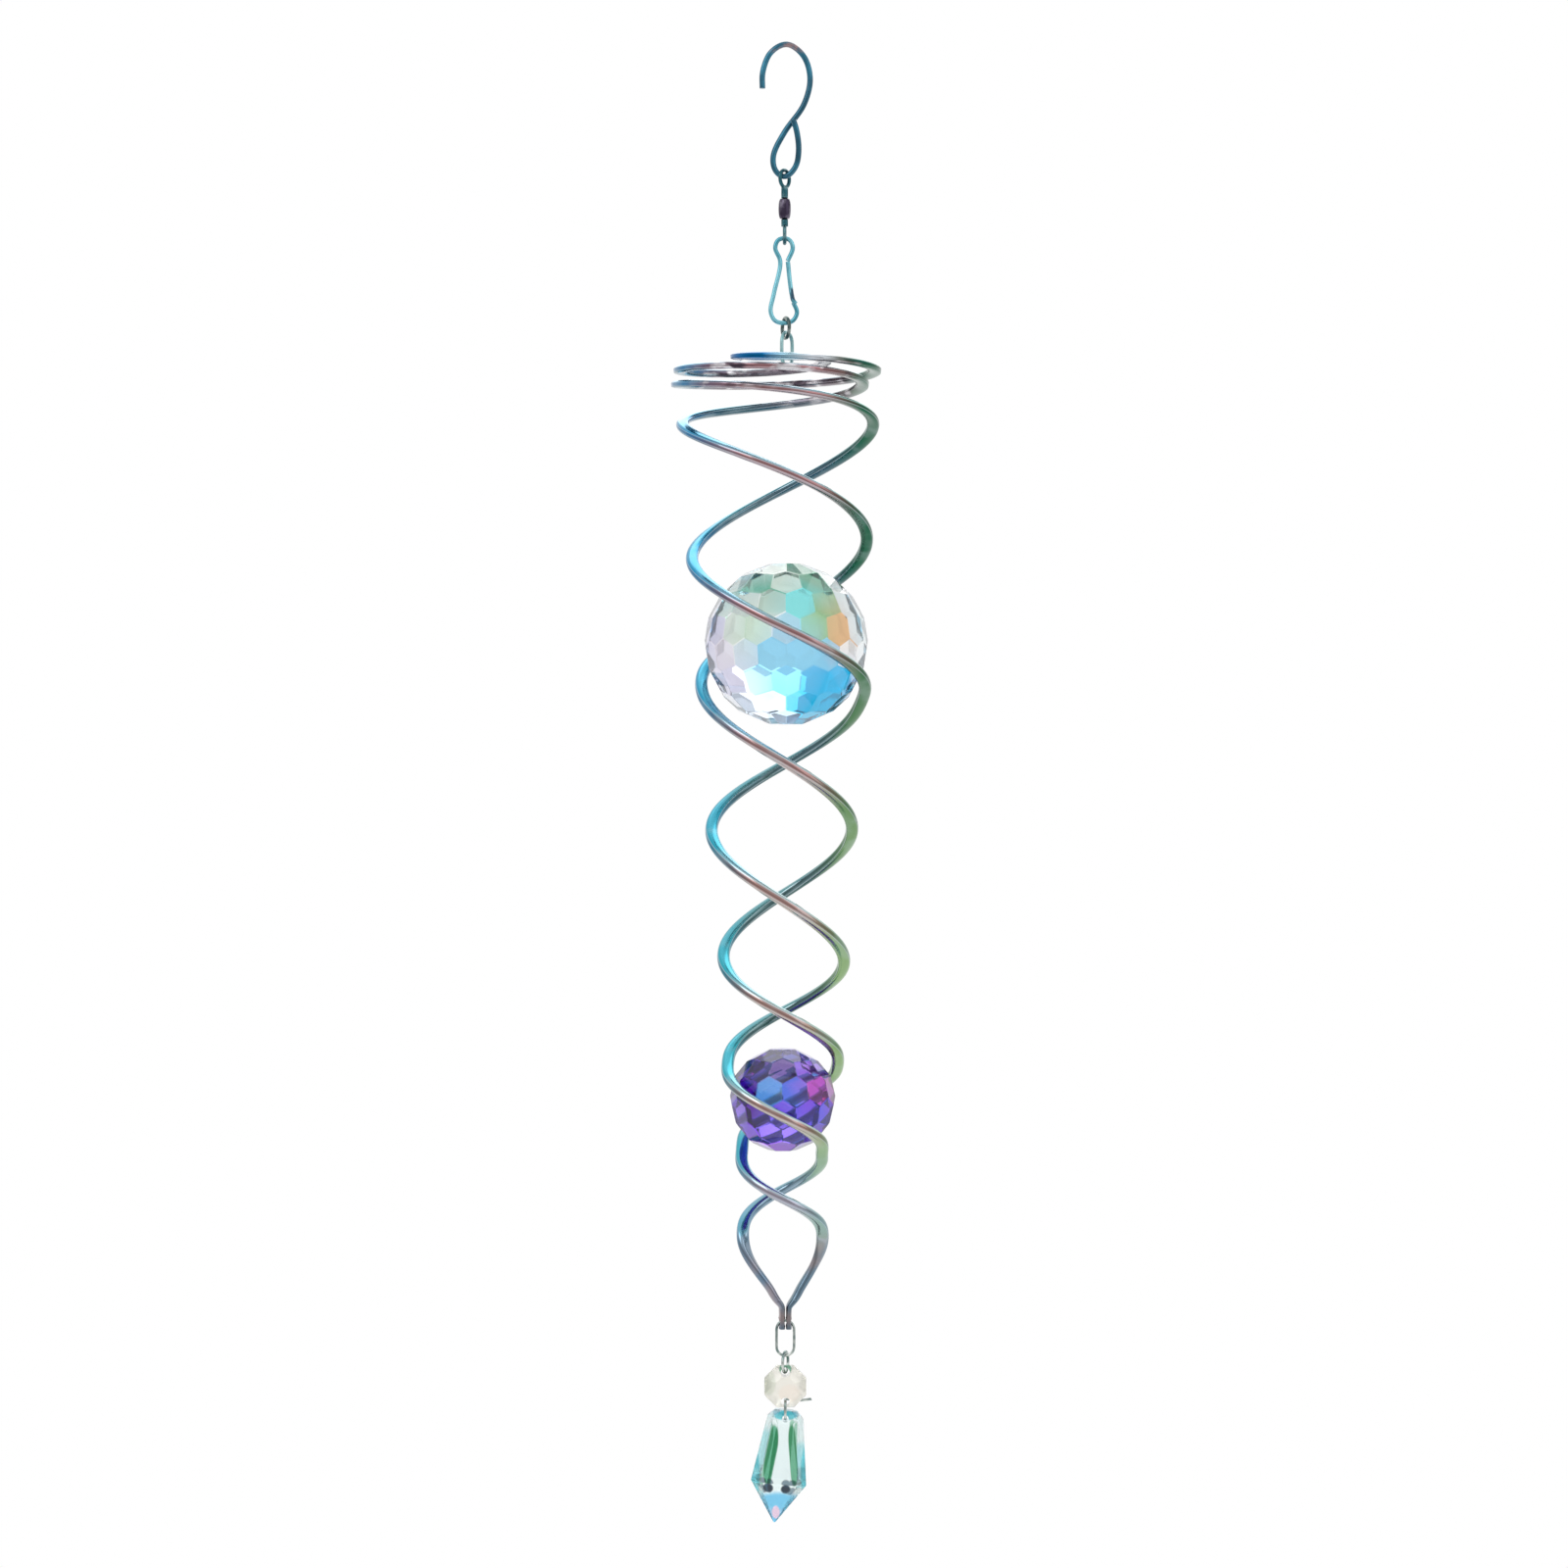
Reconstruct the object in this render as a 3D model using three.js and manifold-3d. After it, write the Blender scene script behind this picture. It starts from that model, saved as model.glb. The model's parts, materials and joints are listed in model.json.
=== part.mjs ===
// Hanging crystal wind spinner. An S-hook, a barrel swivel, a snap clip and two links carry a
// two-arm steel spiral. Two cut crystal balls sit inside the spiral, and two small links, a
// crystal bead, a wire pin and a crystal drop hang below it.
//
// Units are millimetres and +Z is up. The origin is the inside top of the S-hook's arch, which
// is the point that the spinner hangs from. The front faces -Y, and +X is to its right.

import * as THREE from "three";
import { ConvexGeometry } from "three/addons/geometries/ConvexGeometry.js";
import { mergeVertices } from "three/addons/utils/BufferGeometryUtils.js";
import Module from "manifold-3d";

const wasm = await Module();
wasm.setup();

// ---------------------------------------------------------------- driving dimensions

const GAP = 0.3; // clearance left between pieces that rest on each other
const WIRE_SIDES = 8;

const HOOK_WIRE = 1.8;
const HOOK_BOTTOM_Z = -39.8; // centre of the wire at the bottom of the closed loop

const EYE_WIRE = 1.2;
const EYE_RADIUS = 2.6;
const TOP_EYE_TURN = 57; // degrees between the eye's plane and the front
const SWIVEL_X = -0.7; // the hook's loop hangs a little to the left of its arch
const SNAP_X = -0.9;
const BARREL_TOP_Z = -46.6;
const BARREL_LENGTH = 5.9;
const BARREL_RADIUS = 1.95;
const SHANK_RADIUS = 0.7;

const SNAP_WIRE = 1.4;
const SNAP_TOP_Z = -58.5; // centres of the wire at the snap's two ends
const SNAP_BOTTOM_Z = -84.5;
const SNAP_WAIST_Z = -65.6;

const LINK_WIRE = 1.2;
const LINK_1_RADIUS = 3.1;
const LINK_1_X = -0.35;
const LINK_1_TURN = 110;
const LINK_2_TURN = 62;
const LINK_2_HALF_WIDTH = 3.4;
const LINK_SPLIT = 0.1; // between the butted ends of a link's wire
const LINK_SPLIT_ANGLE = 45; // degrees up from the link's side

const STRIP_WIDTH = 4;
const STRIP_THICKNESS = 1.8; // at the bar and at the neck; the arms are thicker
const BAR_Z = -94.9;
const BAR_BEND_RADIUS = 4;
const STEPS_PER_HALF_TURN = 13;

const LARGE_BALL = { x: -0.2, z: -182.8, radius: 25 };
const SMALL_BALL = { x: -1.3, z: -322.2, radius: 16 };

const PENDANT_X = -0.5; // the spiral's neck, and everything that hangs from it
const EYELET_Z = -390.2; // the hole through both ends of the spiral
const EYELET_RADIUS = 1.5;
const LOWER_LINK_WIRE = 0.9;
const LOWER_LINK_HALF_WIDTH = 2.7;
const LOWER_LINK_BOTTOM_Z = -400.6;

const BEAD_LINK_WIRE = 0.9;
const BEAD_LINK_TURN = 75;
const BEAD_Z = -409.9;
const BEAD_RADIUS = 6.4; // across the flats of the octagon, halved
const BEAD_HOLE_OFFSET = 4.5;
const BEAD_HOLE_RADIUS = 1.4;

const DROP_TOP_Z = -417.1;
const DROP_LENGTH = 35.1;
const DROP_GIRDLE_DEPTH = 22.1; // from the drop's top down to its widest section
const DROP_NECK_WIDTH = 10.4;
const DROP_CROWN_WIDTH = 6.6; // across the flat at the drop's very top
const DROP_WIDTH = 17;
const DROP_DEPTH_SHARE = 0.62; // the drop's depth over its width
const DROP_TILT = 6; // degrees, with the point towards -X
const DROP_HOLE_DEPTH = 2.4;
const DROP_HOLE_RADIUS = 1.05;
const PIN_WIRE = 0.8;

// ---------------------------------------------------------------- helpers

const degrees = THREE.MathUtils.degToRad;
const point = (x, y, z) => new THREE.Vector3(x, y, z);

function solidOf(geometry) {
  const bare = geometry.clone();
  bare.deleteAttribute("normal");
  bare.deleteAttribute("uv");
  const merged = mergeVertices(bare, 1e-4);
  return new wasm.Manifold(
    new wasm.Mesh({
      numProp: 3,
      vertProperties: new Float32Array(merged.attributes.position.array),
      triVerts: new Uint32Array(merged.index.array),
    }),
  );
}

function geometryOf(solid) {
  const mesh = solid.getMesh();
  return new THREE.BufferGeometry()
    .setAttribute("position", new THREE.BufferAttribute(mesh.vertProperties, 3))
    .setIndex(new THREE.BufferAttribute(mesh.triVerts, 1));
}

function join(...geometries) {
  return geometryOf(geometries.map(solidOf).reduce((a, b) => a.add(b)));
}

function cut(geometry, ...cutters) {
  return geometryOf(cutters.map(solidOf).reduce((a, b) => a.subtract(b), solidOf(geometry)));
}

function roundSection(diameter) {
  const corners = [];
  for (let i = 0; i < WIRE_SIDES; i++) {
    const angle = (2 * Math.PI * (i + 0.5)) / WIRE_SIDES;
    corners.push(new THREE.Vector2(Math.cos(angle), Math.sin(angle)).multiplyScalar(diameter / 2));
  }
  return new THREE.Shape(corners);
}

function wire(path, diameter, steps) {
  return new THREE.ExtrudeGeometry(roundSection(diameter), { steps, extrudePath: path });
}

function smoothWire(points, diameter, steps) {
  return wire(new THREE.CatmullRomCurve3(points), diameter, steps);
}

// A closed round ring in the XZ plane, turned about Z by `turn` degrees.
function ring(radius, diameter, turn, z) {
  return new THREE.TorusGeometry(radius, diameter / 2, WIRE_SIDES, 24)
    .rotateX(Math.PI / 2)
    .rotateZ(degrees(turn))
    .translate(0, 0, z);
}

// A link bent from wire: two half circles and two straight sides, butted with a small split.
// The sides run between the angles where the sine is one over STRAIGHT_SIDE_RUN.
const STRAIGHT_SIDE_RUN = 6;
class LinkPath extends THREE.Curve {
  constructor(halfWidth, topZ, bottomZ) {
    super();
    this.halfWidth = halfWidth;
    this.centreZ = (topZ + bottomZ) / 2;
    this.straight = Math.max((topZ - bottomZ) / 2 - halfWidth, 0);
    this.splitShare = LINK_SPLIT / (2 * Math.PI * halfWidth);
  }
  getPoint(t) {
    const share = this.splitShare / 2 + t * (1 - this.splitShare);
    const angle = degrees(LINK_SPLIT_ANGLE) + 2 * Math.PI * share;
    const height = THREE.MathUtils.clamp(STRAIGHT_SIDE_RUN * Math.sin(angle), -1, 1);
    return point(
      this.halfWidth * Math.cos(angle),
      0,
      this.centreZ + this.halfWidth * Math.sin(angle) + this.straight * height,
    );
  }
}

function link(halfWidth, topZ, bottomZ, diameter, turn) {
  const path = new LinkPath(halfWidth, topZ, bottomZ);
  return wire(path, diameter, 36).rotateZ(degrees(turn));
}

// A round bar along an axis, for shanks and for drilling.
function rod(radius, length, sides = 16) {
  return new THREE.CylinderGeometry(radius, radius, length, sides);
}

const uprightRod = (radius, topZ, bottomZ) =>
  rod(radius, topZ - bottomZ).rotateX(Math.PI / 2).translate(0, 0, (topZ + bottomZ) / 2);

// The convex gem bounded by flat facets. Each facet is { normal, distance } from the gem's centre.
function gem(facets) {
  const duals = facets.map(({ normal, distance }) => normal.clone().divideScalar(distance));
  const hull = new ConvexGeometry(duals).attributes.position;
  const corners = new Map();
  for (let i = 0; i < hull.count; i += 3) {
    const [a, b, c] = [0, 1, 2].map((n) => new THREE.Vector3().fromBufferAttribute(hull, i + n));
    const normal = b.sub(a).cross(c.sub(a)).normalize();
    const corner = normal.divideScalar(normal.dot(a));
    corners.set(corner.toArray().map((v) => v.toFixed(3)).join(), corner);
  }
  return new ConvexGeometry([...corners.values()]);
}

// Facets in rings about +Z: each ring is [latitude in degrees, number of facets, distance].
function facetRings(rings) {
  return rings.flatMap(([latitude, count, distance], ringIndex) => {
    const facets = [];
    for (let i = 0; i < count; i++) {
      const azimuth = (2 * Math.PI * (i + (ringIndex % 2) / 2)) / count - Math.PI / 2;
      const normal = new THREE.Vector3().setFromSphericalCoords(1, degrees(90 - latitude), 0);
      normal.set(normal.z * Math.cos(azimuth), normal.z * Math.sin(azimuth), normal.y);
      facets.push({ normal, distance });
    }
    return facets;
  });
}

// A smooth value through a list, read at a fractional index. It never overshoots the list.
function along(values, index) {
  const start = Math.min(Math.floor(index), values.length - 2);
  const at = (n) => values[THREE.MathUtils.clamp(n, 0, values.length - 1)];
  const slope = (n) => {
    const before = at(n) - at(n - 1);
    const after = at(n + 1) - at(n);
    if (before * after <= 0) return 0;
    const limit = 3 * Math.min(Math.abs(before), Math.abs(after));
    return THREE.MathUtils.clamp((before + after) / 2, -limit, limit);
  };
  const f = index - start;
  return (
    (2 * f ** 3 - 3 * f ** 2 + 1) * at(start) +
    (f ** 3 - 2 * f ** 2 + f) * slope(start) +
    (3 * f ** 2 - 2 * f ** 3) * at(start + 1) +
    (f ** 3 - f ** 2) * slope(start + 1)
  );
}

// ---------------------------------------------------------------- hanging gear

// One wire: an open arch that hooks over a branch or rail, and a closed loop below it whose end
// passes in front of the shank.
function sHook() {
  const front = -(HOOK_WIRE + GAP);
  return smoothWire(
    [
      point(-7.5, 0, -12.6),
      point(-7.4, 0, -7.6),
      point(-4.9, 0, -1.6),
      point(0, 0, HOOK_WIRE / 2),
      point(5, 0, -2.6),
      point(7.1, 0, -9.5),
      point(5.2, 0, -17.6),
      point(-0.75, 0, -26.1),
      point(-4.2, 0, -33.4),
      point(-3.5, 0, -37.9),
      point(SWIVEL_X, 0, HOOK_BOTTOM_Z),
      point(2.6, -0.4, -36.8),
      point(3.6, 0.6 * front, -31.6),
      point(2.8, front, -25.2),
      point(1.9, front, -22.6),
    ],
    HOOK_WIRE,
    64,
  );
}

// The hook's loop is tightly curved at its bottom, so the eye sits two gaps above it.
const topEyeZ = HOOK_BOTTOM_Z + (HOOK_WIRE + EYE_WIRE) / 2 + 2 * GAP - EYE_RADIUS;
const bottomEyeZ = SNAP_TOP_Z - SNAP_WIRE / 2 - GAP - EYE_WIRE / 2 + EYE_RADIUS;
const barrelBottomZ = BARREL_TOP_Z - BARREL_LENGTH;
const barrelWall = 0.45;
const eyeNeckRadius = 1.05; // the thick part of a shank, between the eye and the barrel
const shankHeadRadius = 1.2;
const shankHeadHeight = 0.9;

// An eye with a shank that ends in a head inside the barrel.
function swivelTopEye() {
  const headTop = BARREL_TOP_Z - 2 * barrelWall - GAP;
  return join(
    ring(EYE_RADIUS, EYE_WIRE, TOP_EYE_TURN, topEyeZ),
    uprightRod(eyeNeckRadius, topEyeZ - EYE_RADIUS, BARREL_TOP_Z + GAP),
    uprightRod(SHANK_RADIUS, topEyeZ - EYE_RADIUS, headTop - shankHeadHeight),
    uprightRod(shankHeadRadius, headTop, headTop - shankHeadHeight),
  );
}

function swivelBottomEye() {
  const headBottom = barrelBottomZ + 2 * barrelWall + GAP;
  return join(
    ring(EYE_RADIUS, EYE_WIRE, 90, bottomEyeZ),
    uprightRod(eyeNeckRadius, barrelBottomZ - GAP, bottomEyeZ + EYE_RADIUS),
    uprightRod(SHANK_RADIUS, headBottom + shankHeadHeight, bottomEyeZ + EYE_RADIUS),
    uprightRod(shankHeadRadius, headBottom + shankHeadHeight, headBottom),
  );
}

// The hollow barrel, with a hole for a shank at each end.
function swivelBarrel() {
  const hole = SHANK_RADIUS + GAP;
  const shoulder = 1.5;
  const half = BARREL_LENGTH / 2;
  const bore = BARREL_RADIUS - barrelWall;
  const upperHalf = [
    [bore, half - 2 * barrelWall],
    [hole, half - 2 * barrelWall],
    [hole, half],
    [shoulder, half],
    [BARREL_RADIUS, half - 1.1],
  ];
  const lowerHalf = upperHalf.map(([r, y]) => [r, -y]).reverse();
  const profile = [...upperHalf, ...lowerHalf, upperHalf[0]].map(([r, y]) => new THREE.Vector2(r, y));
  return new THREE.LatheGeometry(profile.reverse(), 16)
    .rotateX(Math.PI / 2)
    .translate(0, 0, BARREL_TOP_Z - half);
}

const waistX = 1.15;
const catchX = 2.5;
const catchZ = -77.4;

// The snap's fixed wire: from the free end of the lower loop, round it, up through the waist and
// round the upper loop.
function snapBody() {
  return smoothWire(
    [
      point(2.9, 0, catchZ - 0.9),
      point(4.0, 0, -81.2),
      point(2.7, 0, -83.8),
      point(0, 0, SNAP_BOTTOM_Z),
      point(-2.7, 0, -83.8),
      point(-4.1, 0, -81.0),
      point(-3.1, 0, -75.5),
      point(-waistX, 0, SNAP_WAIST_Z),
      point(-2.7, 0, -61.6),
      point(-1.9, 0, -59.2),
      point(0, 0, SNAP_TOP_Z),
      point(1.9, 0, -59.2),
      point(2.7, 0, -61.6),
      point(waistX, 0, SNAP_WAIST_Z + GAP / 2),
    ],
    SNAP_WIRE,
    64,
  );
}

// The sprung leg of the same wire. Its end is bent forward and hooks over the loop's free end.
function snapGate() {
  const front = -(SNAP_WIRE + GAP);
  return smoothWire(
    [
      point(waistX + 0.05, 0, SNAP_WAIST_Z - GAP / 2),
      point(1.7, 0, -71),
      point(2.2, 0, catchZ + 2.6),
      point(catchX, 0.5 * front, catchZ + 0.9),
      point(catchX + 0.3, front, catchZ - 0.4),
      point(catchX + 1.1, front, catchZ - 1.4),
    ],
    SNAP_WIRE,
    20,
  );
}

const link1Z = SNAP_BOTTOM_Z + SNAP_WIRE / 2 + GAP + LINK_WIRE / 2 - LINK_1_RADIUS;
const link2TopZ = link1Z - LINK_1_RADIUS + LINK_WIRE + 2 * GAP;
const link2Hang = 1.2; // how far the link's round bottom hangs below the bar's edges
const link2BottomZ = BAR_Z - (STRIP_THICKNESS + LINK_WIRE) / 2 - GAP - link2Hang;

const topLink1 = () =>
  link(LINK_1_RADIUS, link1Z + LINK_1_RADIUS, link1Z - LINK_1_RADIUS, LINK_WIRE, LINK_1_TURN);

const topLink2 = () =>
  link(LINK_2_HALF_WIDTH, link2TopZ, link2BottomZ, LINK_WIRE, LINK_2_TURN);

// ---------------------------------------------------------------- spiral

// Each arm of the spiral, from the bar's end down. The index is the number of half turns, up to
// the last three entries, where the arms draw together and run straight down side by side.
const neckRadius = (STRIP_THICKNESS + GAP) / 2;
const armTurns = [0, 1, 2, 3, 4, 5, 6, 7, 8, 9, 10, 10.06, 10, 10];
const armZ = [
  BAR_Z, -99, -103.2, -115.4, -154, -197.9, -240, -279.5, -310.5, -340.3, -364.5, -381, -386.5, -392.4,
];
const armStagger = [0, 0, 0, 0, 2.8, 1.7, 0.2, 0.8, 0.3, 0, 0, 0, 0, 0]; // left arm lower by this
const armOuterRadius = [13.4, 32.2, 30.6, 31.5, 29, 26.4, 23.7, 20.6, 18.8, 14.4, 14.2];
const armRadius = [
  ...armOuterRadius.map((r) => r - STRIP_WIDTH / 2),
  4.2,
  neckRadius,
  neckRadius,
];
const armAxisX = [
  -1.6, -2.9, -5.2, -2.8, -2.3, -1.8, -1.6, -1.0, -1.2, -1.6, -1.3, PENDANT_X, PENDANT_X, PENDANT_X,
];
const armTilt = [0, 8, 8, 11, 6, -6, -9, -9, -9, -9, -6, 0, 0, 0];
const armThickness = [
  STRIP_THICKNESS, 2.1, 2.1, 2.3, 2.6, 2.9, 2.9, 2.9, 2.9, 2.9, 2.7, 2.4, STRIP_THICKNESS, STRIP_THICKNESS,
];

// Moves a point of the arm outwards where a ball needs the room.
function clearBall(at, ball) {
  const insideEdgeRise = 1.8;
  const dx = at.x - ball.x;
  const across = Math.hypot(dx, at.y);
  const dz = Math.max(Math.abs(at.z - ball.z) - insideEdgeRise, 0);
  const reach = Math.sqrt(Math.max((ball.radius + 1.5 * GAP) ** 2 - dz ** 2, 0));
  const needed = reach + STRIP_WIDTH / 2 + 2 * GAP;
  const softness = 0.6;
  const moved = (across + needed + Math.hypot(across - needed, softness)) / 2;
  at.x = ball.x + (dx * moved) / across;
  at.y *= moved / across;
}

function armSample(index, startAngle) {
  const angle = startAngle + Math.PI * along(armTurns, index);
  const radius = along(armRadius, index);
  const at = point(
    along(armAxisX, index) + radius * Math.cos(angle),
    radius * Math.sin(angle),
    along(armZ, index) + Math.cos(startAngle) * along(armStagger, index),
  );
  for (const ball of [LARGE_BALL, SMALL_BALL]) {
    const near = Math.abs(at.z - ball.z) < 1.3 * ball.radius;
    if (near) clearBall(at, ball);
  }
  return { at, tilt: degrees(along(armTilt, index)), thickness: along(armThickness, index) };
}

const barSample = (x, y) => ({ at: point(x, y, BAR_Z), tilt: 0, thickness: STRIP_THICKNESS });

// Half of the spiral: half the bar, the bend at its end, and the arm. The arm starts at the
// bend's end and turns anticlockwise, seen from above, on its way down.
function armSamples(startAngle) {
  const samples = [];
  const side = Math.cos(startAngle);
  const bendStart = armAxisX[0] + side * (armRadius[0] - BAR_BEND_RADIUS);
  const barSteps = 3;
  for (let i = 1; i <= barSteps; i++) {
    samples.push(barSample((bendStart * i) / barSteps, 0));
  }
  const bendSteps = 5;
  for (let i = 1; i <= bendSteps; i++) {
    const angle = (Math.PI / 2) * (i / bendSteps);
    const across = bendStart + side * BAR_BEND_RADIUS * Math.sin(angle);
    const round = side * BAR_BEND_RADIUS * (1 - Math.cos(angle));
    samples.push(barSample(across, round));
  }
  const firstIndex = 0.16; // the share of the first half turn that the bend has already made
  const lastIndex = armZ.length - 1;
  const steps = Math.round((lastIndex - firstIndex) * STEPS_PER_HALF_TURN);
  for (let i = 0; i <= steps; i++) {
    samples.push(armSample(firstIndex + ((lastIndex - firstIndex) * i) / steps, startAngle));
  }
  return samples;
}

// The path of a strip whose wide side stays level across its direction, apart from its tilt.
// The section is drawn at STRIP_THICKNESS, and the path stretches it to each sample's thickness.
class StripPath extends THREE.Curve {
  constructor(samples) {
    super();
    this.samples = samples;
  }
  getPoint(t) {
    return this.samples[Math.round(t * (this.samples.length - 1))].at.clone();
  }
  getSpacedPoints(steps) {
    return this.getPoints(steps);
  }
  // The level direction across the strip at each sample. It is eased towards both ends, where the
  // arms draw together, so that the strip's quarter twist there isn't sudden.
  levels(tangents) {
    const level = point(0, -1, 0);
    const nearlyUpright = 0.1;
    let levels = tangents.map((tangent) => {
      const lean = Math.hypot(tangent.x, tangent.y);
      if (lean > nearlyUpright) level.set(tangent.y, -tangent.x, 0);
      level.addScaledVector(tangent, -level.dot(tangent)).normalize();
      return level.clone();
    });
    const easingRounds = 24;
    const easedSamples = 4 * STEPS_PER_HALF_TURN;
    for (let round = 0; round < easingRounds; round++) {
      levels = levels.map((middle, i) => {
        const fromEnd = Math.min(i, levels.length - 1 - i);
        if (fromEnd === 0 || fromEnd > easedSamples) return middle;
        const eased = middle.clone().multiplyScalar(2).add(levels[i - 1]).add(levels[i + 1]);
        return eased.addScaledVector(tangents[i], -eased.dot(tangents[i])).normalize();
      });
    }
    return levels;
  }
  computeFrenetFrames() {
    const frames = { tangents: [], normals: [], binormals: [] };
    const last = this.samples.length - 1;
    const tangents = this.samples.map((_, i) => {
      const before = this.samples[Math.max(i - 1, 0)].at;
      const after = this.samples[Math.min(i + 1, last)].at;
      return after.clone().sub(before).normalize();
    });
    const levels = this.levels(tangents);
    this.samples.forEach(({ tilt, thickness }, i) => {
      const tangent = tangents[i];
      const normal = levels[i].applyAxisAngle(tangent, tilt);
      frames.tangents.push(tangent);
      frames.normals.push(normal);
      const across = tangent.clone().cross(normal);
      frames.binormals.push(across.multiplyScalar(thickness / STRIP_THICKNESS));
    });
    return frames;
  }
}

function stripSection() {
  const corners = [];
  const flat = (STRIP_WIDTH - STRIP_THICKNESS) / 2;
  for (const side of [1, -1]) {
    for (const angle of [-90, -30, 30, 90]) {
      const round = new THREE.Vector2(Math.cos(degrees(angle)), Math.sin(degrees(angle)));
      round.multiplyScalar(STRIP_THICKNESS / 2);
      round.x += flat;
      corners.push(round.multiplyScalar(side));
    }
  }
  return new THREE.Shape(corners);
}

// One strip: up the right arm, across the bar and down the left arm. Both ends are drilled.
function spiral() {
  const rising = armSamples(0).reverse();
  const falling = armSamples(Math.PI);
  rising.forEach((sample) => (sample.tilt *= -1));
  const samples = [...rising, barSample(0, 0), ...falling];
  const strip = new THREE.ExtrudeGeometry(stripSection(), {
    steps: samples.length - 1,
    extrudePath: new StripPath(samples),
  });
  const eyelet = rod(EYELET_RADIUS, 4 * STRIP_WIDTH, 12)
    .rotateZ(Math.PI / 2)
    .translate(PENDANT_X, 0, EYELET_Z);
  return cut(strip, eyelet);
}

// ---------------------------------------------------------------- crystals

// Flat facets in rings from the north pole to the south pole, staggered from ring to ring.
// A facet's depth is its distance from the centre, over the ball's radius.
const LARGE_BALL_CUT = {
  latitudes: [90, 67, 47, 28, 9, -9, -28, -47, -67, -90],
  counts: [1, 8, 12, 16, 18, 18, 16, 12, 8, 1],
  facetDepth: 0.98,
};
const SMALL_BALL_CUT = {
  latitudes: [90, 63, 38, 13, -13, -38, -63, -90],
  counts: [1, 6, 10, 12, 12, 10, 6, 1],
  facetDepth: 0.968,
};

function crystalBall(ball, { latitudes, counts, facetDepth }) {
  const distance = facetDepth * ball.radius;
  const rings = latitudes.map((latitude, i) => [latitude, counts[i], distance]);
  return gem(facetRings(rings)).translate(ball.x, 0, ball.z);
}

const drill = (radius, x, z) => rod(radius, 30, 12).translate(x, 0, z);

// A flat octagon, thin at its rim, with a hole at its top and another at its bottom.
function crystalBead() {
  const rim = 0.9;
  const tableHalf = 3;
  const tableRadius = 3;
  const bevel = new THREE.Vector2(tableHalf - rim, BEAD_RADIUS - tableRadius).normalize();
  const bevelDistance = bevel.x * BEAD_RADIUS + bevel.y * rim;
  const facets = [1, -1].map((side) => ({ normal: point(0, side, 0), distance: tableHalf }));
  for (let i = 0; i < 8; i++) {
    const angle = (Math.PI / 4) * i;
    const outwards = point(Math.cos(angle), 0, Math.sin(angle));
    facets.push({ normal: outwards.clone(), distance: BEAD_RADIUS });
    for (const side of [1, -1]) {
      const normal = outwards.clone().multiplyScalar(bevel.x).add(point(0, side * bevel.y, 0));
      facets.push({ normal, distance: bevelDistance });
    }
  }
  return cut(
    gem(facets).translate(0, 0, BEAD_Z),
    drill(BEAD_HOLE_RADIUS, 0, BEAD_Z + BEAD_HOLE_OFFSET),
    drill(BEAD_HOLE_RADIUS, 0, BEAD_Z - BEAD_HOLE_OFFSET),
  );
}

// An eight-sided icicle: it widens slowly from its neck to its girdle, and then runs to a point.
// It is built with its hole at the origin, so that it can be tilted about the hole.
function crystalDrop() {
  const sides = 8;
  const girdle = DROP_WIDTH / 2;
  const upper = new THREE.Vector2(DROP_GIRDLE_DEPTH, girdle - DROP_NECK_WIDTH / 2).normalize();
  const lower = new THREE.Vector2(DROP_LENGTH - DROP_GIRDLE_DEPTH, girdle).normalize();
  const facets = [{ normal: point(0, 0, 1), distance: DROP_GIRDLE_DEPTH }];
  for (let i = 0; i < sides; i++) {
    const angle = (2 * Math.PI * i) / sides;
    const round = point(Math.cos(angle), Math.sin(angle), 0);
    facets.push({
      normal: round.clone().multiplyScalar(upper.x).setZ(upper.y),
      distance: upper.x * girdle,
    });
    facets.push({
      normal: round.clone().multiplyScalar(lower.x).setZ(-lower.y),
      distance: lower.x * girdle,
    });
    facets.push({
      normal: round.clone().setZ(1).normalize(),
      distance: (DROP_CROWN_WIDTH / 2 + DROP_GIRDLE_DEPTH) * Math.SQRT1_2,
    });
  }
  const neckHalfDepth = 1.8; // at the very top, where two slanted faces thin the drop for its pin
  const thinningAngle = degrees(24);
  const block = { width: 30, depth: 20, height: 40 };
  const body = gem(facets).scale(1, DROP_DEPTH_SHARE, 1);
  const thinned = [0, Math.PI].map((turn) =>
    new THREE.BoxGeometry(block.width, block.depth, block.height)
      .translate(0, block.depth / 2, 0)
      .rotateX(thinningAngle)
      .translate(0, neckHalfDepth, DROP_GIRDLE_DEPTH)
      .rotateZ(turn),
  );
  return cut(
    cut(body, ...thinned).translate(0, 0, -DROP_GIRDLE_DEPTH + DROP_HOLE_DEPTH),
    drill(DROP_HOLE_RADIUS, 0, 0),
  );
}

const lowerLinkTopZ = EYELET_Z + 0.4;
const lowerLink = () =>
  link(LOWER_LINK_HALF_WIDTH, lowerLinkTopZ, LOWER_LINK_BOTTOM_Z, LOWER_LINK_WIRE, 0);

const beadLinkTopZ = LOWER_LINK_BOTTOM_Z + (LOWER_LINK_WIRE + BEAD_LINK_WIRE) / 2 + GAP;
const beadLinkBottomZ = BEAD_Z + BEAD_HOLE_OFFSET - 0.3;
const beadLinkHalfWidth = (beadLinkTopZ - beadLinkBottomZ) / 2;
const beadLink = () =>
  link(beadLinkHalfWidth, beadLinkTopZ, beadLinkBottomZ, BEAD_LINK_WIRE, BEAD_LINK_TURN);

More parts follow.
